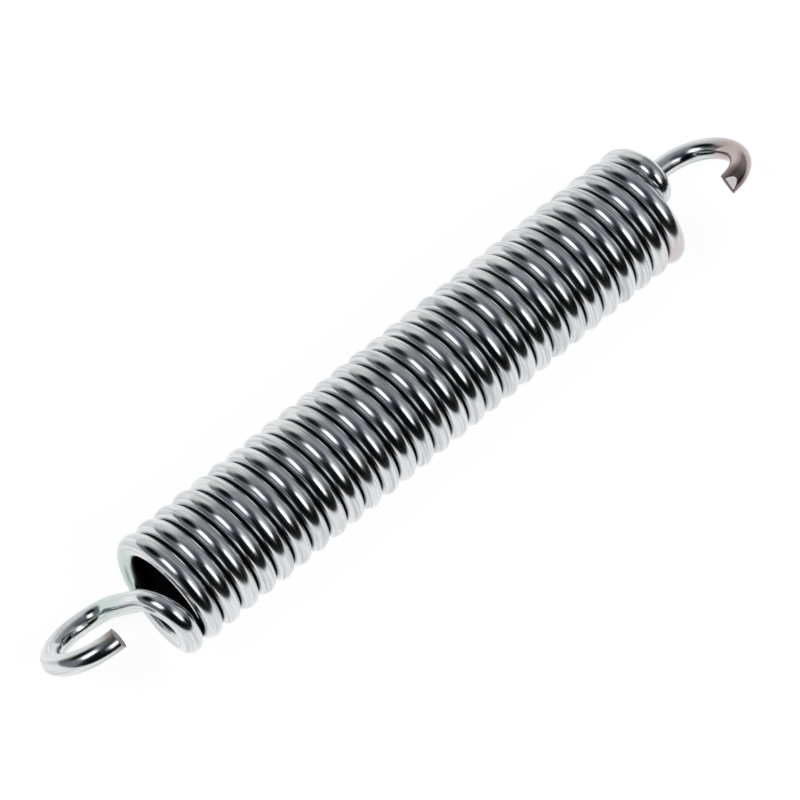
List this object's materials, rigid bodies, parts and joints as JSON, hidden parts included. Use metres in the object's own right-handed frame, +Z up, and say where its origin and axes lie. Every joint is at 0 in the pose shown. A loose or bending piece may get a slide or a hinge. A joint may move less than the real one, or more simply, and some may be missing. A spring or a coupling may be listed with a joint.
{
  "type": "pruner spring",
  "caption": "Close-wound extension spring of bright plated round wire with an open crossover hook at each end, lying on its side.",
  "frame": {"origin": "under the middle of the spring, on the floor that it lies on", "axes": "+X along the coil's axis toward the hook with the smaller bends, +Z up, -Y toward the viewer"},
  "size_m": [0.1002, 0.0144, 0.0144],
  "materials": {
    "bright_zinc_plate": "bright clear zinc plate on spring steel wire"
  },
  "bodies": {
    "root": {"spring_wire": "bright_zinc_plate"}
  },
  "joints": []
}
